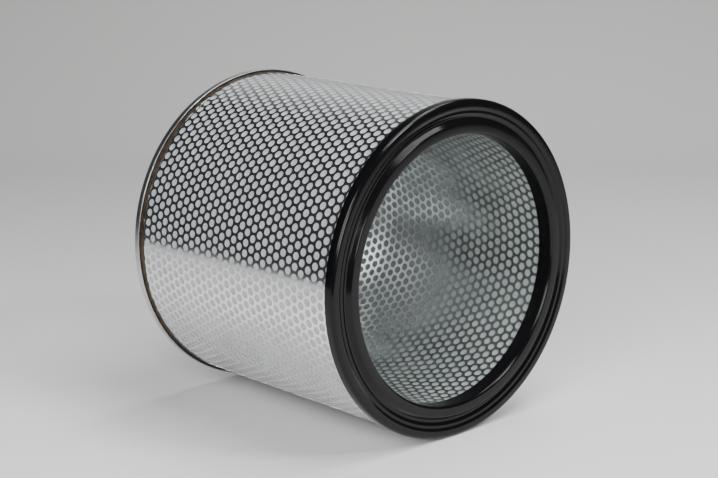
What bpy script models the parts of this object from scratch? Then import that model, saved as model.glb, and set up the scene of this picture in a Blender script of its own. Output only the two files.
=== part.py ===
"""Filter cartridge of a workshop dust collector, lying on its side.

The cartridge is a bonded assembly on one long axis, which lies along world Y. The open end, with its
moulded sealing cap, faces -Y, and the closed steel end faces +Y. The two ends have one diameter, so
the cartridge rests level on the ground plane z = 0. Nothing on it moves.

Every turned piece is drawn as a profile of (radius, depth) points. Depth is measured along the axis
from the crest of the sealing rib, which is the front of the cartridge, towards the closed end.
"""

import math

import bmesh
import bpy

# ---- Driving dimensions, in metres ---------------------------------------------------------------

overall_length = 0.236          # sealing crest to the closed end's outer face
inner_liner_radius = 0.1055     # inside of the inner liner
wall_width = 0.0220             # inside of the inner liner to the outside of the outer one
end_overhang = 0.0025           # how far both ends stand out past the outer liner
liner_thickness = 0.0008        # perforated sheet, both liners
outer_fleece_thickness = 0.0012
inner_fleece_thickness = 0.0010
clearance = 0.0003              # between pieces that touch

cap_face_depth = 0.0050         # sealing crest to the floor of the moulded cap's channel
cap_outer_skirt_depth = 0.0093  # sealing crest to the back edge of the outer skirt
cap_inner_skirt_depth = 0.0135  # sealing crest to the back edge of the inner skirt
cap_inner_skirt_wall = 0.0012

sheet_thickness = 0.0008        # pressed steel closed end
flange_height = 0.0060          # turned-up outer edge of the closed end
centre_rise = 0.0060            # how far the centre plate is pressed inwards
trough_overhang = 0.0045        # how far the trough reaches in past the inner liner
stiffening_bead_radius = 0.0600
stiffening_bead_width = 0.0140
stiffening_bead_rise = 0.0015

potting_base = 0.0018           # adhesive under the ends of the liners and the media
potting_fillet_depth = 0.0060   # how far the adhesive climbs the outer liner

pleat_count = 110
pleat_tip_width = 0.0018        # outside width of a fold
media_thickness = 0.0006
spacer_bead_count = 3
spacer_bead_width = 0.0030
spacer_bead_thickness = 0.0008
clip_leg = 0.0080               # how far the seam clip reaches along the fold
clip_sheet = 0.0004

ring_steps = 72                 # sides of every turned piece

# ---- Sizes that follow ---------------------------------------------------------------------------

outer_liner_radius = inner_liner_radius + wall_width
end_radius = outer_liner_radius + end_overhang
trough_inner_radius = inner_liner_radius - trough_overhang

closed_face_depth = overall_length
trough_floor_depth = closed_face_depth - sheet_thickness
flange_edge_depth = closed_face_depth - flange_height
plate_outer_depth = closed_face_depth - centre_rise
plate_inner_depth = plate_outer_depth - sheet_thickness

wall_start_depth = cap_face_depth + clearance
wall_end_depth = trough_floor_depth - clearance - potting_base - clearance

outer_fleece_outside = outer_liner_radius - liner_thickness - clearance
bead_outside = outer_fleece_outside - outer_fleece_thickness - clearance
pleat_outside = bead_outside - spacer_bead_thickness - clearance
inner_fleece_inside = inner_liner_radius + liner_thickness + clearance
clip_inside = inner_fleece_inside + inner_fleece_thickness + clearance
pleat_inside = clip_inside + clip_sheet + clearance


def clear_scene():
    """Remove whatever the opened file holds."""
    for old in list(bpy.data.objects):
        bpy.data.objects.remove(old, do_unlink=True)


def new_material(name, color, roughness, metallic):
    """Principled BSDF material with one colour."""
    material = bpy.data.materials.new(name)
    material.use_nodes = True
    shader = material.node_tree.nodes["Principled BSDF"]
    shader.inputs["Base Color"].default_value = (*color, 1.0)
    shader.inputs["Roughness"].default_value = roughness
    shader.inputs["Metallic"].default_value = metallic
    return material


def height(depth):
    """Height along the cartridge's own axis of a point at this depth."""
    return overall_length / 2.0 - depth


def place(obj, material):
    """Give an object its material and hang it on the cartridge's axis."""
    obj.data.materials.append(material)
    parts.objects.link(obj)
    obj.parent = axis
    return obj


def turned(name, profile, material, is_closed=True):
    """Turn a profile of (radius, depth) points about the axis.

    A closed profile gives a ring. An open one starts and ends on the axis and gives a disc.
    """
    mesh = bpy.data.meshes.new(name)
    form = bmesh.new()
    points = [form.verts.new((radius, 0.0, height(depth))) for radius, depth in profile]
    for first, second in zip(points, points[1:]):
        form.edges.new((first, second))
    if is_closed:
        form.edges.new((points[-1], points[0]))
    form.to_mesh(mesh)
    form.free()
    obj = bpy.data.objects.new(name, mesh)
    screw = obj.modifiers.new("turn", "SCREW")
    screw.axis = "Z"
    screw.steps = ring_steps
    screw.render_steps = ring_steps
    screw.use_merge_vertices = True
    screw.merge_threshold = 0.00001
    screw.use_smooth_shade = True
    return place(obj, material)


def tube(name, outside, inside, start, end, material):
    """Plain tube between two depths."""
    profile = [(outside, start), (outside, end), (inside, end), (inside, start)]
    return turned(name, profile, material)


def extruded(name, outlines, start, end, material):
    """Flat outlines in the plane across the axis, given as a body between two depths."""
    curve = bpy.data.curves.new(name, "CURVE")
    curve.dimensions = "2D"
    curve.fill_mode = "BOTH"
    curve.extrude = (end - start) / 2.0
    for outline in outlines:
        spline = curve.splines.new("POLY")
        spline.points.add(len(outline) - 1)
        for point, (x, y) in zip(spline.points, outline):
            point.co = (x, y, 0.0, 1.0)
        spline.use_cyclic_u = True
    obj = bpy.data.objects.new(name, curve)
    obj.location.z = height((start + end) / 2.0)
    return place(obj, material)


def polar(radius, angle):
    """Point across the axis at this radius and angle."""
    return (radius * math.cos(angle), radius * math.sin(angle))


# ---- Moulded sealing cap, open end ---------------------------------------------------------------

seal_edge_round = 0.0022        # rounding of the bore's edge
seal_crest_width = 0.0046       # flat land that seals
seal_valley_depth = 0.0030      # behind the sealing crest
seal_step_depth = 0.0018
seal_land_depth = 0.0008
seal_land_width = 0.0022
seal_outer_round = 0.0038       # rounding of the face's outer edge


def seal_groove(crest_end, land_start):
    """Groove between the sealing rib and the outer land, with one step on its outer side."""
    width = land_start - crest_end
    return [
        (crest_end + width * 0.15, seal_valley_depth * 0.1),
        (crest_end + width * 0.34, seal_valley_depth * 0.9),
        (crest_end + width * 0.41, seal_valley_depth),
        (crest_end + width * 0.66, seal_step_depth),
        (crest_end + width * 0.79, seal_step_depth),
    ]


def make_seal_cap():
    """Soft cap cast over the open end: grooved face, outer skirt, longer inner skirt.

    Both liners, both fleeces and the media stand in the channel between the skirts.
    """
    material = new_material("black_polyurethane", (0.012, 0.012, 0.013), 0.34, 0.0)
    channel_outside = outer_liner_radius + clearance
    channel_inside = inner_liner_radius - clearance
    bore = channel_inside - cap_inner_skirt_wall
    crest_start = bore + seal_edge_round
    crest_end = crest_start + seal_crest_width
    land_end = end_radius - seal_outer_round
    land_start = land_end - seal_land_width
    bore_corner = seal_edge_round * (1.0 - math.sqrt(0.5))
    outer_corner = seal_outer_round * (1.0 - math.sqrt(0.5))
    profile = [(crest_start, 0.0), (crest_end, 0.0)]
    profile += seal_groove(crest_end, land_start)
    profile += [
        (land_start, seal_land_depth),
        (land_end, seal_land_depth),
        (end_radius - outer_corner, seal_land_depth + outer_corner),
        (end_radius, seal_land_depth + seal_outer_round),
        (end_radius, cap_outer_skirt_depth),
        (channel_outside, cap_outer_skirt_depth),
        (channel_outside, cap_face_depth),
        (channel_inside, cap_face_depth),
        (channel_inside, cap_inner_skirt_depth),
        (bore, cap_inner_skirt_depth),
        (bore, seal_edge_round),
        (bore + bore_corner, bore_corner),
    ]
    turned("seal_cap", profile, material)


# ---- Perforated liners, fleeces and media --------------------------------------------------------

def make_liners():
    """Steel tubes that carry the load. They are plain here; the perforation is a surface detail."""
    outer_steel = new_material("galvanised_outer", (0.72, 0.74, 0.75), 0.22, 1.0)
    inner_steel = new_material("galvanised_inner", (0.62, 0.66, 0.66), 0.28, 1.0)
    tube("outer_liner", outer_liner_radius, outer_liner_radius - liner_thickness,
         wall_start_depth, wall_end_depth, outer_steel)
    tube("inner_liner", inner_liner_radius + liner_thickness, inner_liner_radius,
         wall_start_depth, wall_end_depth, inner_steel)


def make_fleeces():
    """Two sleeves of pale fleece, one against each liner."""
    outer_cloth = new_material("outer_fleece", (0.78, 0.79, 0.79), 0.9, 0.0)
    inner_cloth = new_material("inner_fleece", (0.66, 0.70, 0.69), 0.9, 0.0)
    tube("outer_fleece", outer_fleece_outside, outer_fleece_outside - outer_fleece_thickness,
         wall_start_depth, wall_end_depth, outer_cloth)
    tube("inner_fleece", inner_fleece_inside + inner_fleece_thickness, inner_fleece_inside,
         wall_start_depth, wall_end_depth, inner_cloth)


def pleat_loop(outer, inner, outer_width, inner_width):
    """One side of the pleated sheet: a closed wave with flat folds at both radii."""
    pitch = 2.0 * math.pi / pleat_count
    outer_half = outer_width / 2.0 / outer
    inner_half = inner_width / 2.0 / inner
    loop = []
    for index in range(pleat_count):
        fold = index * pitch
        valley = fold + pitch / 2.0
        loop.append(polar(outer, fold - outer_half))
        loop.append(polar(outer, fold + outer_half))
        loop.append(polar(inner, valley - inner_half))
        loop.append(polar(inner, valley + inner_half))
    return loop


def make_media():
    """Pleated sheet, folded round into a closed sleeve."""
    paper = new_material("filter_media", (0.80, 0.80, 0.77), 0.9, 0.0)
    inside_of_fold = pleat_tip_width - 2.0 * media_thickness
    outer_side = pleat_loop(pleat_outside, pleat_inside + media_thickness,
                            pleat_tip_width, inside_of_fold)
    inner_side = pleat_loop(pleat_outside - media_thickness, pleat_inside,
                            inside_of_fold, pleat_tip_width)
    extruded("pleated_media", [outer_side, inner_side], wall_start_depth, wall_end_depth, paper)


def make_seam_clip():
    """Folded steel strip that closes the sleeve, pushed over one inner fold from inside."""
    steel = new_material("clip_steel", (0.60, 0.60, 0.60), 0.35, 1.0)
    pitch = 2.0 * math.pi / pleat_count
    valley = pitch / 2.0
    fold_half = pleat_tip_width / 2.0
    crown_radius = pleat_outside - media_thickness
    crown_half = pitch / 2.0 * crown_radius - (fold_half - media_thickness)
    # The fold's wall leans away from the valley's middle by this much for each metre outwards.
    lean = (crown_half - fold_half) / (crown_radius - pleat_inside)
    inner_half = fold_half + clearance
    outer_half = inner_half + clip_sheet
    leg_end = clip_inside + clip_leg
    spread = lean * (leg_end - pleat_inside)
    outline = [
        (clip_inside, -outer_half),
        (clip_inside, outer_half),
        (leg_end, outer_half + spread),
        (leg_end, inner_half + spread),
        (clip_inside + clip_sheet, inner_half),
        (clip_inside + clip_sheet, -inner_half),
        (leg_end, -inner_half - spread),
        (leg_end, -outer_half - spread),
    ]
    turned_outline = []
    for radial, across in outline:
        x = radial * math.cos(valley) - across * math.sin(valley)
        y = radial * math.sin(valley) + across * math.cos(valley)
        turned_outline.append((x, y))
    extruded("media_seam_clip", [turned_outline], wall_start_depth, wall_end_depth, steel)


def make_spacer_beads():
    """Bands of hot-melt round the outer folds, which keep the pleats evenly spaced."""
    hot_melt = new_material("hot_melt", (0.85, 0.80, 0.66), 0.5, 0.0)
    span = wall_end_depth - wall_start_depth
    for index in range(spacer_bead_count):
        middle = wall_start_depth + span * (index + 1) / (spacer_bead_count + 1)
        tube(f"pleat_spacer_bead_{index + 1}", bead_outside, bead_outside - spacer_bead_thickness,
             middle - spacer_bead_width / 2.0, middle + spacer_bead_width / 2.0, hot_melt)


# ---- Closed end ----------------------------------------------------------------------------------

def make_closed_end_cap():
    """Pressed steel end: turned-up flange, potting trough, raised centre with one round bead."""
    steel = new_material("bright_steel", (0.70, 0.71, 0.72), 0.2, 1.0)
    trough_outer_radius = end_radius - sheet_thickness
    recess_radius = trough_inner_radius - sheet_thickness
    bead_start = stiffening_bead_radius - stiffening_bead_width / 2.0
    bead_end = stiffening_bead_radius + stiffening_bead_width / 2.0
    crown_start = bead_start + stiffening_bead_width / 3.0
    crown_end = bead_end - stiffening_bead_width / 3.0
    inside = [
        (0.0, plate_inner_depth),
        (bead_start, plate_inner_depth),
        (crown_start, plate_inner_depth - stiffening_bead_rise),
        (crown_end, plate_inner_depth - stiffening_bead_rise),
        (bead_end, plate_inner_depth),
        (trough_inner_radius, plate_inner_depth),
        (trough_inner_radius, trough_floor_depth),
        (trough_outer_radius, trough_floor_depth),
        (trough_outer_radius, flange_edge_depth),
    ]
    outside = [
        (end_radius, flange_edge_depth),
        (end_radius, closed_face_depth - sheet_thickness),
        (end_radius - sheet_thickness, closed_face_depth),
        (recess_radius, closed_face_depth),
        (recess_radius, plate_outer_depth),
        (bead_end, plate_outer_depth),
        (crown_end, plate_outer_depth - stiffening_bead_rise),
        (crown_start, plate_outer_depth - stiffening_bead_rise),
        (bead_start, plate_outer_depth),
        (0.0, plate_outer_depth),
    ]
    turned("closed_end_cap", inside + outside, steel, is_closed=False)


def make_potting():
    """Adhesive in the trough. It seals the ends of the wall and climbs both liners."""
    glue = new_material("potting_adhesive", (0.16, 0.12, 0.07), 0.45, 0.0)
    outside = end_radius - sheet_thickness - clearance
    inside = trough_inner_radius + clearance
    liner_outside = outer_liner_radius + clearance
    liner_inside = inner_liner_radius - clearance
    floor = trough_floor_depth - clearance
    base_top = floor - potting_base
    fillet_top = closed_face_depth - flange_height - clearance
    profile = [
        (liner_outside, floor - potting_fillet_depth),
        (outside, fillet_top + potting_base),
        (outside, floor),
        (inside, floor),
        (inside, fillet_top + potting_base),
        (liner_inside, fillet_top + potting_base),
        (liner_inside, base_top),
        (liner_outside, base_top),
    ]
    turned("end_potting", profile, glue)


# ---- The cartridge -------------------------------------------------------------------------------

clear_scene()
parts = bpy.data.collections.new("filter_cartridge")
bpy.context.scene.collection.children.link(parts)
axis = bpy.data.objects.new("cartridge_axis", None)
axis.empty_display_size = 0.05
axis.location = (0.0, 0.0, end_radius)
axis.rotation_euler = (math.radians(90.0), 0.0, 0.0)
parts.objects.link(axis)

make_seal_cap()
make_liners()
make_fleeces()
make_media()
make_seam_clip()
make_spacer_beads()
make_closed_end_cap()
make_potting()
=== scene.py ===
import math

import bmesh
import bpy
from mathutils import Matrix, Vector, noise


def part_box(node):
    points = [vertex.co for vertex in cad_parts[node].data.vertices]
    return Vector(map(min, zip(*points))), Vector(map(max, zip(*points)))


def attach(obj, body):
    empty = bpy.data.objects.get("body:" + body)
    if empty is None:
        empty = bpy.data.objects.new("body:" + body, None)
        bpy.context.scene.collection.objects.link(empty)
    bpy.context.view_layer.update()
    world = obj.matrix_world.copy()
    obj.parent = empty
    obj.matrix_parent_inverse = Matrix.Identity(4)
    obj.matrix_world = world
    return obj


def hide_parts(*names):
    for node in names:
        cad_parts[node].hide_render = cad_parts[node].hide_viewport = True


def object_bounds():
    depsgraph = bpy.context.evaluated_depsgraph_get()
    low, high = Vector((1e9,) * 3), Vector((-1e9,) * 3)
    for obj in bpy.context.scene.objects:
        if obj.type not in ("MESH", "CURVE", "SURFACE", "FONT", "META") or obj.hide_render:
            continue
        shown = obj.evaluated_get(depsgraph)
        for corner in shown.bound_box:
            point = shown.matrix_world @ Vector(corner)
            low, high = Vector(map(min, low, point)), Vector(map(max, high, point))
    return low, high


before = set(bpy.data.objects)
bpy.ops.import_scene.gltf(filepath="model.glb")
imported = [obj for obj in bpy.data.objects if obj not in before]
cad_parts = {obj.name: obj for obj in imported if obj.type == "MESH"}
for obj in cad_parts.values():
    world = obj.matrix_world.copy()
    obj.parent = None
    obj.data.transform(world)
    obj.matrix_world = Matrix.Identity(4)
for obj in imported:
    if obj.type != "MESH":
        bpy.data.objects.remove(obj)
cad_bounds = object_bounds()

# ---- Camera --------------------------------------------------------------------------------------
# A standing person's view of the open end and the left side, from a little above, through a short
# telephoto lens. It is made first so that everything else can be judged through it.

view_azimuth = math.radians(-43.16)
view_elevation = math.radians(13.165)
view_distance = 1.349
view_offset_right = 0.0040
view_offset_up = 0.0049
lens_mm = 84.5

camera_data = bpy.data.cameras.new("camera")
camera_data.lens = lens_mm
camera_data.sensor_width = 36.0
camera = bpy.data.objects.new("camera", camera_data)
bpy.context.scene.collection.objects.link(camera)
view_turn = Matrix.Rotation(view_azimuth, 3, "Z") @ Matrix.Rotation(math.pi / 2 - view_elevation, 3, "X")
view_right, view_up, view_back = view_turn.col
object_middle = (Vector(cad_bounds[0]) + Vector(cad_bounds[1])) / 2
view_target = object_middle + view_right * view_offset_right + view_up * view_offset_up
camera.matrix_world = Matrix.Translation(view_target + view_back * view_distance) @ view_turn.to_4x4()
bpy.context.scene.camera = camera

# ---- Outer liner ---------------------------------------------------------------------------------
# A tube rolled from bright galvanised sheet, punched with round holes in staggered rows. Its long
# edges lap and are spot-welded low on the far side. Its ends stand in the moulded cap and the potting.

steel_sheet = 0.0008        # thickness
hole_radius = 0.0030
outer_columns = 101         # holes round the tube
row_pitch = 0.00707         # from one ring of holes to the next
first_row = 0.00954         # behind the sealing crest
lap_width = 0.0100
lap_gap = 0.0001            # between the two lapped edges
lap_ramp = 0.0050           # over which the inner edge steps down
outer_seam_angle = math.radians(-38.0)
weld_pitch = 0.0283
merge_distance = 0.00004    # below which two points of a cut hole's rim are one
shortest_edge = 0.00001
wall_facing = 0.7           # a face of the tube's wall points outwards or inwards by more than this
sheet_sharp_angle = math.radians(40)
front_face = cad_bounds[0].y


def axis_height(node):
    """Height of the axis of a turned CAD node."""
    low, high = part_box(node)
    return (low.z + high.z) / 2


def outside_radius(node):
    """Outside radius of a turned CAD node."""
    low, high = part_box(node)
    return (high.x - low.x) / 2


def ease(factor):
    """A factor held to 0..1, with a soft start and end."""
    held = min(max(factor, 0.0), 1.0)
    return held * held * (3 - 2 * held)


def finish_piece(piece, node):
    """Hang a finished piece on the root body and hide the CAD node that it stands for."""
    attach(piece, "root")
    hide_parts(node)


def punched_sheet(width, length, pitch, rows_start, columns, rows):
    """Flat perforated sheet, lying in XY from the origin, with its thickness below z = 0.

    A staggered grid of points gives six triangles round each point. Bevelling the points cuts
    a six-sided hole at each, and its rim is then divided and drawn out to a round one.
    """
    form = bmesh.new()
    bmesh.ops.create_grid(form, x_segments=columns, y_segments=rows, size=1.0)
    low_x = min(vert.co.x for vert in form.verts)
    low_y = min(vert.co.y for vert in form.verts)
    step_x = -2 * low_x / columns
    step_y = -2 * low_y / rows
    for vert in form.verts:
        column = round((vert.co.x - low_x) / step_x)
        row = round((vert.co.y - low_y) / step_y)
        vert.co = ((column - 1 + 0.5 * (row % 2)) * pitch, rows_start + row * row_pitch, 0.0)
    bmesh.ops.triangulate(form, faces=form.faces[:], quad_method="SHORT_EDGE")
    inner = [vert for vert in form.verts if not vert.is_boundary]
    bevelled = bmesh.ops.bevel(form, geom=inner, offset=hole_radius, offset_type="OFFSET",
                               affect="VERTICES", segments=1, profile=0.5, material=-1,
                               clamp_overlap=False)
    holes = [face for face in bevelled["faces"] if len(face.verts) == 6]
    rims = list({edge for face in holes for edge in face.edges})
    bmesh.ops.delete(form, geom=holes, context="FACES_ONLY")
    split = bmesh.ops.bisect_edges(form, edges=rims, cuts=1)
    for item in split["geom_split"]:
        if isinstance(item, bmesh.types.BMVert):
            row = round((item.co.y - rows_start) / row_pitch)
            shift = 0.5 * (row % 2)
            column = round(item.co.x / pitch - shift)
            middle = Vector(((column + shift) * pitch, rows_start + row * row_pitch, 0.0))
            item.co = middle + (item.co - middle).normalized() * hole_radius
    cuts = [((0, 0, 0), (-1, 0, 0)), ((width, 0, 0), (1, 0, 0)),
            ((0, 0, 0), (0, -1, 0)), ((0, length, 0), (0, 1, 0))]
    for place, normal in cuts:
        everything = form.verts[:] + form.edges[:] + form.faces[:]
        bmesh.ops.bisect_plane(form, geom=everything, plane_co=place, plane_no=normal, clear_outer=True)
    bmesh.ops.remove_doubles(form, verts=form.verts[:], dist=merge_distance)
    bmesh.ops.dissolve_degenerate(form, edges=form.edges[:], dist=shortest_edge)
    bmesh.ops.recalc_face_normals(form, faces=form.faces[:])
    if form.faces[0].normal.z < 0:
        bmesh.ops.reverse_faces(form, faces=form.faces[:])
    bmesh.ops.solidify(form, geom=form.faces[:], thickness=steel_sheet)
    if max(vert.co.z for vert in form.verts) > steel_sheet / 2:
        bmesh.ops.translate(form, verts=form.verts[:], vec=(0, 0, -steel_sheet))
    return form


def set_round_normals(mesh, middle_height):
    """Shade the two walls of a tube as truly round. The walls of the holes keep their own normals."""
    corner_normals = []
    for face in mesh.polygons:
        outward = Vector((face.center.x, 0, face.center.z - middle_height)).normalized()
        facing = face.normal.dot(outward)
        for index in face.vertices:
            point = mesh.vertices[index].co
            outward = Vector((point.x, 0, point.z - middle_height)).normalized()
            if facing > wall_facing:
                corner_normals.append(outward)
            elif facing < -wall_facing:
                corner_normals.append(-outward)
            else:
                corner_normals.append(Vector((0, 0, 0)))
    mesh.normals_split_custom_set(corner_normals)


def perforated_tube(name, node, columns, seam_angle):
    """Perforated sheet rolled round the axis until its long edges lap."""
    radius = outside_radius(node)
    low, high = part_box(node)
    middle_height = axis_height(node)
    around = 2 * math.pi * radius
    pitch = around / columns
    length = high.y - low.y
    rows_start = (front_face + first_row - low.y) % row_pitch - row_pitch
    rows = math.ceil((length - rows_start) / row_pitch) + 1
    form = punched_sheet(around + lap_width, length, pitch, rows_start, columns + 4, rows)
    flat_map = form.loops.layers.uv.new("flat_sheet")
    for face in form.faces:
        for loop in face.loops:
            loop[flat_map].uv = (loop.vert.co.x, loop.vert.co.y)
    for vert in form.verts:
        past = vert.co.x - (around - lap_ramp)
        sink = ease(past / lap_ramp) * (steel_sheet + lap_gap)
        angle = seam_angle + vert.co.x / radius
        distance = radius + vert.co.z - sink
        vert.co = (distance * math.cos(angle), low.y + vert.co.y,
                   middle_height + distance * math.sin(angle))
    if form.calc_volume(signed=True) < 0:
        bmesh.ops.reverse_faces(form, faces=form.faces[:])
    mesh = bpy.data.meshes.new(name)
    form.to_mesh(mesh)
    form.free()
    mesh.shade_smooth()
    mesh.set_sharp_from_angle(angle=sheet_sharp_angle)
    set_round_normals(mesh, middle_height)
    piece = bpy.data.objects.new(name, mesh)
    bpy.context.scene.collection.objects.link(piece)
    return piece


def new_shader(name):
    """A new material, with its node tree and its Principled shader."""
    material = bpy.data.materials.new(name)
    material.use_nodes = True
    tree = material.node_tree
    return material, tree, tree.nodes["Principled BSDF"]


def add_node(tree, kind, **settings):
    """A shader node with its settings."""
    node = tree.nodes.new(kind)
    for key, value in settings.items():
        setattr(node, key, value)
    return node


def object_pattern(tree, scale=(1, 1, 1)):
    """Object coordinates, stretched by a Mapping node."""
    place = add_node(tree, "ShaderNodeTexCoord")
    mapping = add_node(tree, "ShaderNodeMapping")
    mapping.inputs["Scale"].default_value = scale
    tree.links.new(place.outputs["Object"], mapping.inputs["Vector"])
    return mapping.outputs["Vector"]


def mottling(tree, scale, detail, stretch=(1, 1, 1), distortion=0.0):
    """A noise factor across the piece. A small stretch draws it out along that axis."""
    node = add_node(tree, "ShaderNodeTexNoise")
    node.inputs["Scale"].default_value = scale
    node.inputs["Detail"].default_value = detail
    node.inputs["Distortion"].default_value = distortion
    tree.links.new(object_pattern(tree, stretch), node.inputs["Vector"])
    return node.outputs["Fac"]


def grains(tree, scale):
    """Distance to the nearest of the grains or specks scattered over the piece."""
    node = add_node(tree, "ShaderNodeTexVoronoi", feature="F1")
    node.inputs["Scale"].default_value = scale
    tree.links.new(object_pattern(tree), node.inputs["Vector"])
    return node.outputs["Distance"]


def blended(tree, source, share, base):
    """A share of one factor added to another."""
    node = add_node(tree, "ShaderNodeMath", operation="MULTIPLY_ADD")
    node.inputs[1].default_value = share
    tree.links.new(source, node.inputs[0])
    tree.links.new(base, node.inputs[2])
    return node.outputs[0]


def ramp(tree, source, low, high, low_color, high_color):
    """A two-stop colour ramp read by a factor."""
    node = add_node(tree, "ShaderNodeValToRGB")
    node.color_ramp.elements[0].position = low
    node.color_ramp.elements[0].color = (*low_color, 1)
    node.color_ramp.elements[1].position = high
    node.color_ramp.elements[1].color = (*high_color, 1)
    tree.links.new(source, node.inputs["Fac"])
    return node.outputs["Color"]


def spread(tree, source, low, high, start=0.0, end=1.0):
    """A factor from start to end mapped on to a range of values."""
    node = add_node(tree, "ShaderNodeMapRange")
    node.inputs["From Min"].default_value = start
    node.inputs["From Max"].default_value = end
    node.inputs["To Min"].default_value = low
    node.inputs["To Max"].default_value = high
    tree.links.new(source, node.inputs["Value"])
    return node.outputs["Result"]


def bump(tree, source, distance, under=None):
    """A bump of this height, on top of another one where given."""
    node = add_node(tree, "ShaderNodeBump")
    node.inputs["Strength"].default_value = 1.0
    node.inputs["Distance"].default_value = distance
    tree.links.new(source, node.inputs["Height"])
    if under is not None:
        tree.links.new(under, node.inputs["Normal"])
    return node.outputs["Normal"]


def from_weld_spots(tree, weld_line):
    """Distance on the flat sheet to the nearest spot weld along a lap, as a share of its reach."""
    flat = add_node(tree, "ShaderNodeUVMap", uv_map="flat_sheet")
    parts = add_node(tree, "ShaderNodeSeparateXYZ")
    tree.links.new(flat.outputs["UV"], parts.inputs["Vector"])
    across = add_node(tree, "ShaderNodeMath", operation="SUBTRACT")
    across.inputs[1].default_value = weld_line
    tree.links.new(parts.outputs["X"], across.inputs[0])
    along = add_node(tree, "ShaderNodeMath", operation="PINGPONG")
    along.inputs[1].default_value = weld_pitch / 2
    tree.links.new(parts.outputs["Y"], along.inputs[0])
    arm = add_node(tree, "ShaderNodeCombineXYZ")
    tree.links.new(across.outputs[0], arm.inputs["X"])
    tree.links.new(along.outputs[0], arm.inputs["Y"])
    length = add_node(tree, "ShaderNodeVectorMath", operation="LENGTH")
    tree.links.new(arm.outputs["Vector"], length.inputs[0])
    return spread(tree, length.outputs["Value"], 0.0, 1.0, end=weld_pitch / 4)


def galvanised(name, dark, light, rough_low, rough_high, weld_line):
    """Zinc-coated sheet: faint spangle, rolling marks, and dull tinted dimples at the welds."""
    material, tree, shader = new_shader(name)
    shader.inputs["Metallic"].default_value = 1.0
    spangle = grains(tree, 160)
    cloud = mottling(tree, 26, 5)
    rolled = mottling(tree, 900, 3, stretch=(1, 0.02, 1))
    from_weld = from_weld_spots(tree, weld_line)
    tint = ramp(tree, from_weld, 0.12, 0.60, (0.30, 0.24, 0.18), (1.0, 1.0, 1.0))
    tinted = add_node(tree, "ShaderNodeMix", data_type="RGBA", blend_type="MULTIPLY")
    tinted.inputs["Factor"].default_value = 1.0
    zinc = ramp(tree, blended(tree, spangle, 0.35, cloud), 0.35, 0.95, dark, light)
    tree.links.new(zinc, tinted.inputs["A"])
    tree.links.new(tint, tinted.inputs["B"])
    tree.links.new(tinted.outputs["Result"], shader.inputs["Base Color"])
    rough = add_node(tree, "ShaderNodeMath", operation="ADD")
    tree.links.new(spread(tree, cloud, rough_low, rough_high), rough.inputs[0])
    tree.links.new(spread(tree, from_weld, 0.30, 0.0, start=0.15, end=0.50), rough.inputs[1])
    tree.links.new(rough.outputs[0], shader.inputs["Roughness"])
    pressed = ramp(tree, from_weld, 0.10, 0.28, (0.0, 0.0, 0.0), (1.0, 1.0, 1.0))
    dimple = bump(tree, pressed, 0.0004)
    waves = bump(tree, cloud, 0.00006, under=dimple)
    tree.links.new(bump(tree, rolled, 0.000004, under=waves), shader.inputs["Normal"])
    return material


outer_liner = perforated_tube("outer_liner_perforated", "outer_liner", outer_columns, outer_seam_angle)
outer_zinc = galvanised("outer_liner_zinc", dark=(0.84, 0.86, 0.88), light=(0.94, 0.95, 0.96),
                        rough_low=0.10, rough_high=0.22, weld_line=lap_width / 2)
outer_liner.data.materials.append(outer_zinc)
finish_piece(outer_liner, "outer_liner")

# ---- Inner liner ---------------------------------------------------------------------------------
# The same punched sheet, rolled smaller and a little rougher, its colour painted darker than the
# outer liner's as painted shade for the inside of the bore. The cleaned air leaves through it, and
# it stops the media from collapsing. Its lap is high in the bore.

inner_columns = 84
inner_seam_angle = math.radians(118.0)

inner_liner = perforated_tube("inner_liner_perforated", "inner_liner", inner_columns, inner_seam_angle)
inner_lap_middle = 2 * math.pi * outside_radius("inner_liner") + lap_width / 2
# Painted shade: the inner zinc gets darker colours than the outer, for the shade inside the bore.
inner_zinc_painted_shade = galvanised("inner_liner_zinc_painted_shade", dark=(0.64, 0.69, 0.68), light=(0.74, 0.78, 0.77),
                        rough_low=0.15, rough_high=0.27, weld_line=inner_lap_middle)
inner_liner.data.materials.append(inner_zinc_painted_shade)
finish_piece(inner_liner, "inner_liner")

# ---- Fleece sleeves ------------------------------------------------------------------------------
# Thin spunbond fleece wrapped round both sides of the media. It lies against the back of each liner,
# and the outer one gives way where the outer liner laps. The inner sleeve's colour is painted darker,
# as painted shade for the inside of the bore.

fleece_sides = 288
fleece_rows = 64
fleece_ripple = 0.00005
ripple_fineness = 180
fleece_gap = 0.0001             # between a sleeve and its liner
outer_fleece_thickness = 0.0005
inner_fleece_thickness = 0.0008
lap_room = lap_width * 1.6      # either side of the seam, where the outer sleeve gives way
lap_room_ramp = lap_width * 0.6
sharp_angle = math.radians(50)


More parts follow.
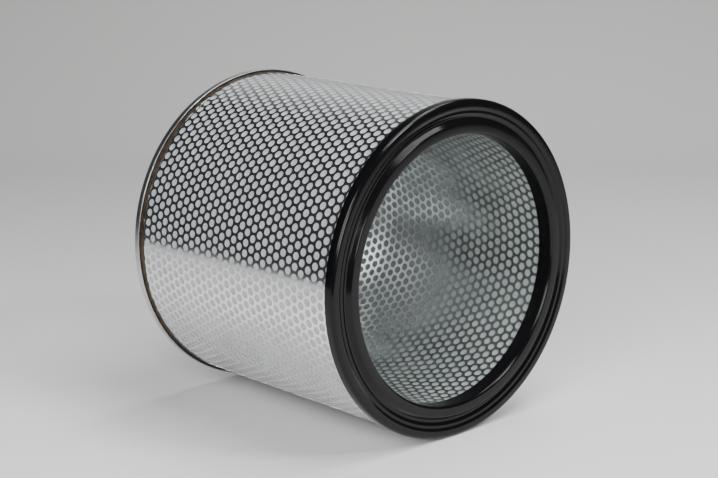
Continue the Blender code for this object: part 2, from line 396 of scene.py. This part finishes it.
def fleece_sleeve(name, node, radius, thickness, lap_angle=None):
    """Sleeve of even thickness, with a faint unevenness and room for a lap in front of it."""
    low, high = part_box(node)
    middle_height = axis_height(node)
    inside = radius - thickness
    form = bmesh.new()
    outer = [form.verts.new((radius, low.y + (high.y - low.y) * step / fleece_rows, middle_height))
             for step in range(fleece_rows + 1)]
    inner = [form.verts.new((inside, along, middle_height)) for along in (high.y, low.y)]
    loop = outer + inner
    edges = [form.edges.new(pair) for pair in zip(loop, loop[1:] + loop[:1])]
    bmesh.ops.spin(form, geom=loop + edges, cent=(0, 0, middle_height), axis=(0, 1, 0),
                   angle=2 * math.pi, steps=fleece_sides, use_merge=True)
    bmesh.ops.recalc_face_normals(form, faces=form.faces[:])
    for vert in form.verts:
        outward = Vector((vert.co.x, 0, vert.co.z - middle_height)).normalized()
        shift = noise.noise(vert.co * ripple_fineness) * fleece_ripple
        if lap_angle is not None:
            off = abs(outward.angle(Vector((math.cos(lap_angle), 0, math.sin(lap_angle)))) * radius)
            shift -= ease((lap_room - off) / lap_room_ramp) * (steel_sheet + lap_gap)
        vert.co += outward * shift
    mesh = bpy.data.meshes.new(name)
    form.to_mesh(mesh)
    form.free()
    mesh.shade_smooth()
    mesh.set_sharp_from_angle(angle=sharp_angle)
    piece = bpy.data.objects.new(name, mesh)
    bpy.context.scene.collection.objects.link(piece)
    return piece


def fleece_cloth(name, dark, light):
    """Matt nonwoven: fine crossed fibres and soft clouding."""
    material, tree, shader = new_shader(name)
    shader.inputs["Roughness"].default_value = 0.92
    shader.inputs["Sheen Weight"].default_value = 0.25
    fibre = mottling(tree, 700, 6, stretch=(1, 1.6, 1), distortion=2.5)
    cloud = mottling(tree, 45, 4)
    clouded = ramp(tree, blended(tree, fibre, 0.5, cloud), 0.5, 1.0, dark, light)
    tree.links.new(clouded, shader.inputs["Base Color"])
    tree.links.new(bump(tree, fibre, 0.0003), shader.inputs["Normal"])
    return material


outer_fleece_radius = outside_radius("outer_liner") - steel_sheet - fleece_gap
outer_fleece = fleece_sleeve("outer_fleece_sleeve", "outer_fleece", outer_fleece_radius,
                             outer_fleece_thickness, outer_seam_angle)
outer_cloth = fleece_cloth("outer_fleece_cloth", dark=(0.40, 0.42, 0.43), light=(0.485, 0.50, 0.51))
outer_fleece.data.materials.append(outer_cloth)
finish_piece(outer_fleece, "outer_fleece")

inner_fleece_radius = outside_radius("inner_liner") + fleece_gap + inner_fleece_thickness
inner_fleece = fleece_sleeve("inner_fleece_sleeve", "inner_fleece", inner_fleece_radius,
                             inner_fleece_thickness)
# Painted shade: the same fleece as outside, coloured darker for the shade inside the bore.
inner_cloth_painted_shade = fleece_cloth("inner_fleece_cloth_painted_shade", dark=(0.25, 0.275, 0.27), light=(0.34, 0.365, 0.36))
inner_fleece.data.materials.append(inner_cloth_painted_shade)
finish_piece(inner_fleece, "inner_fleece")

# ---- Moulded sealing cap -------------------------------------------------------------------------
# Black polyurethane cast over the open end in one piece: a smooth sealing rib next to the bore, a
# groove with one step, an outer land, and skirts that grip both liners. The mould leaves it glossy.

turned_sides = 288
corner_steps = 6
longest_reach = 0.48            # share of a side that the rounding of its end may take
seam_distance = 0.000002        # below which the first and last points of a full turn are one
seal_radius = outside_radius("seal_cap")
turning_height = axis_height("seal_cap")    # of the axis that every turned piece shares
wall_clearance = 0.0003         # from each liner to the channel that it stands in
inner_skirt_wall = 0.0012
channel_inside = outside_radius("inner_liner") - steel_sheet - wall_clearance
channel_outside = outside_radius("outer_liner") + wall_clearance
bore_radius = channel_inside - inner_skirt_wall
# Distances behind the sealing crest.
land_depth = 0.0008
step_depth = 0.0018
groove_depth = 0.0031
channel_depth = 0.0050
outer_skirt_depth = 0.0093
inner_skirt_depth = 0.0135
# Radius, distance behind the sealing crest and rounding of each corner of the section.
seal_section = [
    (bore_radius, inner_skirt_depth, 0.0005), (bore_radius, 0.0000, 0.0024),
    (0.1121, 0.0000, 0.0016), (0.1152, groove_depth, 0.0011), (0.1168, groove_depth, 0.0009),
    (0.1193, step_depth, 0.0006), (0.1214, step_depth + 0.0001, 0.0005),
    (0.1236, land_depth, 0.0010), (seal_radius, land_depth, 0.0039),
    (seal_radius, outer_skirt_depth, 0.0004), (channel_outside, outer_skirt_depth, 0.0002),
    (channel_outside, channel_depth, 0.0002), (channel_inside, channel_depth, 0.0002),
    (channel_inside, inner_skirt_depth, 0.0004),
]


def rounded(corners, segments):
    """A section whose corners are rounded by arcs of the given radius. A zero keeps a corner sharp."""
    points = []
    count = len(corners)
    for index, (radius, depth, rounding) in enumerate(corners):
        here = Vector((radius, depth))
        if rounding == 0.0:
            points.append(here)
            continue
        before = Vector(corners[index - 1][:2]) - here
        after = Vector(corners[(index + 1) % count][:2]) - here
        half = before.angle(after) / 2
        reach = min(rounding / math.tan(half), before.length * longest_reach, after.length * longest_reach)
        size = reach * math.tan(half)
        start = here + before.normalized() * reach
        bisector = (before.normalized() + after.normalized()).normalized()
        centre = here + bisector * (size / math.sin(half))
        end = here + after.normalized() * reach
        sweep = (start - centre).angle_signed(end - centre)
        for step in range(segments + 1):
            arm = (start - centre).copy()
            arm.rotate(Matrix.Rotation(-sweep * step / segments, 2))
            points.append(centre + arm)
    return points


def turned_piece(name, section, front, sides, is_ring=True):
    """Section of (radius, depth) points spun about the axis. A disc's section ends on the axis."""
    form = bmesh.new()
    loop = [form.verts.new((radius, front + depth, turning_height)) for radius, depth in section]
    pairs = list(zip(loop, loop[1:]))
    if is_ring:
        pairs.append((loop[-1], loop[0]))
    edges = [form.edges.new(pair) for pair in pairs]
    bmesh.ops.spin(form, geom=loop + edges, cent=(0, 0, turning_height), axis=(0, 1, 0),
                   angle=2 * math.pi, steps=sides, use_merge=True)
    bmesh.ops.remove_doubles(form, verts=form.verts[:], dist=seam_distance)
    bmesh.ops.recalc_face_normals(form, faces=form.faces[:])
    mesh = bpy.data.meshes.new(name)
    form.to_mesh(mesh)
    form.free()
    mesh.shade_smooth()
    mesh.set_sharp_from_angle(angle=sharp_angle)
    piece = bpy.data.objects.new(name, mesh)
    bpy.context.scene.collection.objects.link(piece)
    return piece


def moulded_polyurethane():
    """Black cast polyurethane: glossy, with faint flow marks, a fine grain and settled dust."""
    material, tree, shader = new_shader("black_polyurethane")
    shader.inputs["Specular IOR Level"].default_value = 0.22
    flow = mottling(tree, 34, 6, stretch=(1, 2, 1), distortion=0.6)
    grain = mottling(tree, 1300, 2)
    dust = ramp(tree, grains(tree, 420), 0.03, 0.06, (0.040, 0.039, 0.038), (0.004, 0.004, 0.0045))
    tree.links.new(dust, shader.inputs["Base Color"])
    tree.links.new(spread(tree, flow, 0.07, 0.18), shader.inputs["Roughness"])
    flowing = bump(tree, flow, 0.00012)
    tree.links.new(bump(tree, grain, 0.00001, under=flowing), shader.inputs["Normal"])
    return material


seal_cap = turned_piece("seal_cap_moulded", rounded(seal_section, corner_steps), front_face, turned_sides)
seal_cap.data.materials.append(moulded_polyurethane())
finish_piece(seal_cap, "seal_cap")

# ---- Closed steel end ----------------------------------------------------------------------------
# One pressing of bright steel sheet: a turned-up flange round the edge, a trough that holds the
# adhesive, and a plate raised into the bore, stiffened by a round bead.

end_corner_steps = 5
end_sheet = 0.0008              # thickness
end_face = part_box("closed_end_cap")[1].y
end_radius = outside_radius("closed_end_cap")
trough_radius = 0.1010
flange_height = 0.0060
plate_rise = 0.0060
bead_height = 0.0015
bead_round = 0.0030
bead_foot_in, bead_top_in, bead_top_out, bead_foot_out = 0.0530, 0.0576, 0.0624, 0.0670
# Radius, distance in front of the closed face and rounding of each corner, first along the inside
# face from the middle to the flange, then back along the outside face.
end_section = [
    (0.0, plate_rise + end_sheet, 0.0), (bead_foot_in, plate_rise + end_sheet, bead_round),
    (bead_top_in, plate_rise + end_sheet + bead_height, bead_round),
    (bead_top_out, plate_rise + end_sheet + bead_height, bead_round),
    (bead_foot_out, plate_rise + end_sheet, bead_round),
    (trough_radius, plate_rise + end_sheet, 0.0014), (trough_radius, end_sheet, 0.0006),
    (end_radius - end_sheet, end_sheet, 0.0008), (end_radius - end_sheet, flange_height, 0.0003),
    (end_radius, flange_height, 0.0003), (end_radius, 0.0, 0.0015),
    (trough_radius - end_sheet, 0.0, 0.0014), (trough_radius - end_sheet, plate_rise, 0.0006),
    (bead_foot_out, plate_rise, bead_round), (bead_top_out, plate_rise + bead_height, bead_round),
    (bead_top_in, plate_rise + bead_height, bead_round), (bead_foot_in, plate_rise, bead_round),
    (0.0, plate_rise, 0.0),
]


def pressed_steel():
    """Bright pressed sheet: fine rings left by the tool, a light haze and slight dents."""
    material, tree, shader = new_shader("bright_pressed_steel")
    shader.inputs["Metallic"].default_value = 1.0
    place = object_pattern(tree, (1, 0, 1))
    centred = add_node(tree, "ShaderNodeVectorMath", operation="SUBTRACT")
    centred.inputs[1].default_value = (0, 0, turning_height)
    tree.links.new(place, centred.inputs[0])
    length = add_node(tree, "ShaderNodeVectorMath", operation="LENGTH")
    tree.links.new(centred.outputs["Vector"], length.inputs[0])
    deep = add_node(tree, "ShaderNodeTexCoord")
    parts = add_node(tree, "ShaderNodeSeparateXYZ")
    tree.links.new(deep.outputs["Object"], parts.inputs["Vector"])
    together = add_node(tree, "ShaderNodeMath", operation="ADD")
    tree.links.new(length.outputs["Value"], together.inputs[0])
    tree.links.new(parts.outputs["Y"], together.inputs[1])
    rings = add_node(tree, "ShaderNodeTexNoise", noise_dimensions="1D")
    rings.inputs["Scale"].default_value = 2600
    rings.inputs["Detail"].default_value = 3
    tree.links.new(together.outputs[0], rings.inputs["W"])
    haze = mottling(tree, 30, 6)
    hazed = ramp(tree, haze, 0.3, 0.8, (0.50, 0.51, 0.52), (0.66, 0.67, 0.67))
    tree.links.new(hazed, shader.inputs["Base Color"])
    tree.links.new(spread(tree, haze, 0.26, 0.42), shader.inputs["Roughness"])
    dented = bump(tree, haze, 0.00025)
    tree.links.new(bump(tree, rings.outputs["Fac"], 0.00003, under=dented), shader.inputs["Normal"])
    return material


end_points = [(radius, -depth) for radius, depth in rounded(end_section, end_corner_steps)]
closed_end = turned_piece("closed_end_pressing", end_points, end_face, turned_sides, is_ring=False)
closed_end.data.materials.append(pressed_steel())
finish_piece(closed_end, "closed_end_cap")

# ---- Potting adhesive ----------------------------------------------------------------------------
# Dark brown adhesive poured into the trough before the wall is pressed in. It is squeezed up round
# both liners, where it sets in an uneven edge with runs and smears over the last row of holes.

potting_sides = 480
potting_low, potting_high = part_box("end_potting")
potting_outer = outside_radius("end_potting")
potting_inner = 0.1013
adhesive_film = 0.00012         # from the outer liner to the thinnest adhesive on it
liner_outside = outside_radius("outer_liner") + adhesive_film
liner_inside = outside_radius("inner_liner") - steel_sheet - wall_clearance
wall_bed = 0.0018               # adhesive under the ends of both liners
ragged_start = 0.0030           # height above which the edge is uneven
ragged_height = 0.0024
highest_smear = 0.0040          # past the CAD adhesive's edge
ragged_waves = ((9, 0.6), (34, 0.5), (110, 0.3))    # fineness and share of each wave in the edge
# Radius and height above the trough's floor: from the outer liner down to the flange, across the
# floor, up to the inner liner, and under the ends of both.
potting_section = [
    (liner_outside, 0.0084), (liner_outside + 0.0002, 0.0082), (liner_outside + 0.00035, 0.0060),
    (liner_outside + 0.0008, 0.0044), (potting_outer - 0.0004, 0.0040), (potting_outer, 0.0034),
    (potting_outer, 0.0000), (potting_inner, 0.0000), (potting_inner, 0.0036),
    (potting_inner + 0.001, 0.0042), (liner_inside - 0.0008, 0.0046), (liner_inside - 0.0002, 0.0056),
    (liner_inside, 0.0058), (liner_inside, wall_bed), (liner_outside, wall_bed),
]
potting_points = [(radius, -depth) for radius, depth in potting_section]
potting = turned_piece("end_potting_cast", potting_points, potting_high.y, potting_sides)
for vert in potting.data.vertices:
    climb = (potting_high.y - vert.co.y - ragged_start) / ragged_start
    if climb > 0:
        around = Vector((vert.co.x, 0, vert.co.z - turning_height)).normalized()
        edge = sum(noise.noise(around * scale) * share for scale, share in ragged_waves)
        vert.co.y -= climb * edge * ragged_height
        vert.co.y = max(vert.co.y, potting_low.y - highest_smear)


def set_adhesive():
    """Set adhesive: brown, half glossy, lighter where it is thin."""
    material, tree, shader = new_shader("brown_adhesive")
    blotch = mottling(tree, 160, 5)
    browned = ramp(tree, blotch, 0.35, 0.75, (0.014, 0.011, 0.008), (0.065, 0.045, 0.027))
    tree.links.new(browned, shader.inputs["Base Color"])
    tree.links.new(spread(tree, blotch, 0.25, 0.55), shader.inputs["Roughness"])
    tree.links.new(bump(tree, blotch, 0.0008), shader.inputs["Normal"])
    return material


potting.data.materials.append(set_adhesive())
finish_piece(potting, "end_potting")

# ---- Media pack, seam clip and spacer beads ------------------------------------------------------
# The folded medium, the strip that closes it and the bands of hot-melt that space it. They are all
# hidden between the sleeves, so the CAD shapes stay, with the finish of the real thing.


def plain_finish(name, dark, light, scale, roughness, metallic, height):
    """A mottled finish with a matching bump."""
    material, tree, shader = new_shader(name)
    shader.inputs["Metallic"].default_value = metallic
    mottle = mottling(tree, scale, 5)
    tree.links.new(ramp(tree, mottle, 0.3, 0.7, dark, light), shader.inputs["Base Color"])
    tree.links.new(spread(tree, mottle, roughness - 0.08, roughness + 0.08), shader.inputs["Roughness"])
    tree.links.new(bump(tree, mottle, height), shader.inputs["Normal"])
    return material


def refinish(node, material):
    """Give a CAD node that stays a finished material."""
    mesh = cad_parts[node].data
    mesh.materials.clear()
    mesh.materials.append(material)


nonwoven = plain_finish("media_nonwoven", dark=(0.68, 0.68, 0.65), light=(0.82, 0.82, 0.79),
                        scale=600, roughness=0.9, metallic=0.0, height=0.0002)
clip_strip = plain_finish("clip_strip_steel", dark=(0.48, 0.48, 0.48), light=(0.64, 0.64, 0.64),
                          scale=200, roughness=0.35, metallic=1.0, height=0.00002)
hot_melt = plain_finish("set_hot_melt", dark=(0.66, 0.60, 0.45), light=(0.82, 0.77, 0.62),
                        scale=120, roughness=0.42, metallic=0.0, height=0.0003)
refinish("pleated_media", nonwoven)
refinish("media_seam_clip", clip_strip)
for number in (1, 2, 3):
    refinish(f"pleat_spacer_bead_{number}", hot_melt)

# ---- Floor and backdrop --------------------------------------------------------------------------
# A pale paper sweep, flat under the cartridge and curved up behind it. Its colour is painted darker
# towards the top as painted shade, and it runs further to the right of the view than to the left.

sweep_left = 0.86
sweep_right = 1.70
sweep_front = 0.75
sweep_back = 1.00
sweep_curve = 0.50
sweep_height = 2.00
sweep_steps = 24


def paper_sweep():
    """Sheet of paper, swept from the floor up into the backdrop, square to the view."""
    forward = Vector((-view_back.x, -view_back.y, 0)).normalized()
    sideways = Vector((view_right.x, view_right.y, 0)).normalized()
    section = [(-sweep_front, 0.0)]
    for step in range(sweep_steps + 1):
        angle = math.pi / 2 * step / sweep_steps
        section.append((sweep_back + sweep_curve * math.sin(angle), sweep_curve * (1 - math.cos(angle))))
    section.append((sweep_back + sweep_curve, sweep_height))
    form = bmesh.new()
    points = [form.verts.new(forward * along + Vector((0, 0, up)) - sideways * sweep_left)
              for along, up in section]
    edges = [form.edges.new(pair) for pair in zip(points, points[1:])]
    moved = bmesh.ops.extrude_edge_only(form, edges=edges)
    far = [item for item in moved["geom"] if isinstance(item, bmesh.types.BMVert)]
    bmesh.ops.translate(form, verts=far, vec=sideways * (sweep_left + sweep_right))
    bmesh.ops.recalc_face_normals(form, faces=form.faces[:])
    mesh = bpy.data.meshes.new("sweep")
    form.to_mesh(mesh)
    form.free()
    mesh.shade_smooth()
    piece = bpy.data.objects.new("paper_sweep", mesh)
    bpy.context.scene.collection.objects.link(piece)
    return piece


def painted_shade_paper():
    """Matt paper, painted from pale at the front of the floor to dark at the top: painted shade."""
    material, tree, shader = new_shader("sweep_paper_painted_shade")
    shader.inputs["Roughness"].default_value = 0.8
    place = add_node(tree, "ShaderNodeTexCoord")
    along = add_node(tree, "ShaderNodeVectorMath", operation="DOT_PRODUCT")
    along.inputs[1].default_value = (-view_back.x, -view_back.y, 1.0)
    tree.links.new(place.outputs["Object"], along.inputs[0])
    # Painted shade: the paper's colour falls towards nearly black with distance and height.
    painted_falloff = spread(tree, along.outputs["Value"], 0.0, 1.0, start=-0.2, end=3.1)
    painted_shade_tones = add_node(tree, "ShaderNodeValToRGB")
    tree.links.new(painted_falloff, painted_shade_tones.inputs["Fac"])
    tree.links.new(painted_shade_tones.outputs["Color"], shader.inputs["Base Color"])
    stops = painted_shade_tones.color_ramp.elements
    stops[0].color = (0.90, 0.875, 0.87, 1)
    stops[1].color = (0.03, 0.03, 0.03, 1)
    for stop, grey in ((0.18, 0.70), (0.36, 0.59), (0.54, 0.44), (0.73, 0.38)):
        stops.new(stop).color = (grey, grey * 0.985, grey * 0.975, 1)
    return material


sweep = paper_sweep()
sweep.data.materials.append(painted_shade_paper())

# ---- Light ---------------------------------------------------------------------------------------
# A softbox overhead, a large one at the left for the side of the body, one in front for the moulded
# cap, a small one that shines into the bore, and one for the backdrop, in a dim room.


def softbox(name, place, aim, width, height, power):
    """A rectangular area light that faces a point."""
    data = bpy.data.lights.new(name, "AREA")
    data.shape = "RECTANGLE"
    data.size = width
    data.size_y = height
    data.energy = power
    lamp = bpy.data.objects.new(name, data)
    bpy.context.scene.collection.objects.link(lamp)
    toward = Vector(aim) - Vector(place)
    lamp.rotation_euler = toward.to_track_quat("-Z", "Y").to_euler()
    lamp.location = place


softbox("overhead_softbox", (0.15, -0.45, 1.40), (0.0, 0.0, 0.10), 0.9, 0.7, 15)
softbox("side_softbox", (-1.90, -0.95, 1.25), (0.0, 0.0, 0.10), 1.3, 1.3, 42)
softbox("bore_softbox", (0.25, -1.15, 1.18), (0.0, 0.0, 0.13), 0.35, 0.24, 9.0)
softbox("front_softbox", (-1.00, -2.00, 0.65), (0.0, 0.0, 0.13), 0.7, 0.7, 22)
softbox("backdrop_softbox", (0.9, 0.3, 1.9), (0.9, 1.1, 0.3), 0.8, 0.8, 16)

room = bpy.data.worlds.new("dim_room")
bpy.context.scene.world = room
room.use_nodes = True
room_shader = room.node_tree.nodes["Background"]
room_shader.inputs["Color"].default_value = (0.034, 0.036, 0.038, 1)
room_shader.inputs["Strength"].default_value = 1.0
